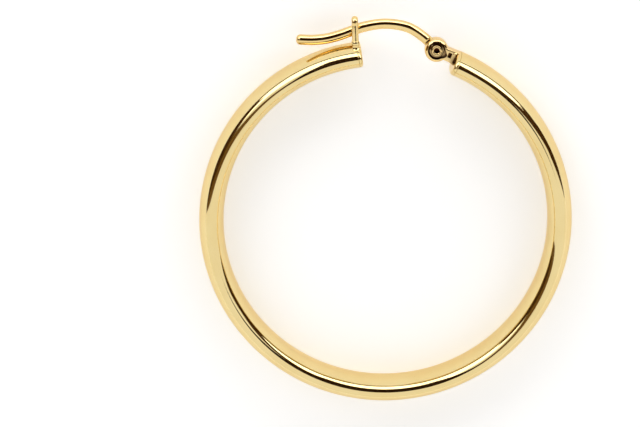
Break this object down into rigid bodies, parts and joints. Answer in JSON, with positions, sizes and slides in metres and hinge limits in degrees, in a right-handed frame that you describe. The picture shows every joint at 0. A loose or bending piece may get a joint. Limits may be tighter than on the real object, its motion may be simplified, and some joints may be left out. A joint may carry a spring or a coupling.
{
  "type": "hinged hoop earring",
  "caption": "Hoop earring of oval polished tube whose hinged ear wire arches over the gap and shuts beside a folded wire catch; it lies on its side.",
  "frame": {"origin": "middle of the bottom of the earring's box, on the surface it lies on", "axes": "+Z along the ring's axis, up, with the catch's side uppermost; +Y from the ring's middle towards the clasp; +X towards the hinge's side"},
  "size_m": [0.03, 0.0318, 0.004],
  "materials": {
    "ring_gold": "polished yellow gold, mirror bright",
    "wire_gold": "polished yellow gold wire",
    "rivet_gold": "yellow gold, burnished where it is flared"
  },
  "bodies": {
    "ring_body": {"hoop": "ring_gold", "hinge_rivet": "rivet_gold"},
    "wire_body": {"ear_wire": "wire_gold"}
  },
  "joints": [
    {"name": "ear_wire_hinge", "type": "hinge", "parent": "ring_body", "child": "wire_body", "pos_m": [0.00402, 0.01302, 0.002], "axis": [0, 0, -1], "range_deg": [0, 90]}
  ]
}
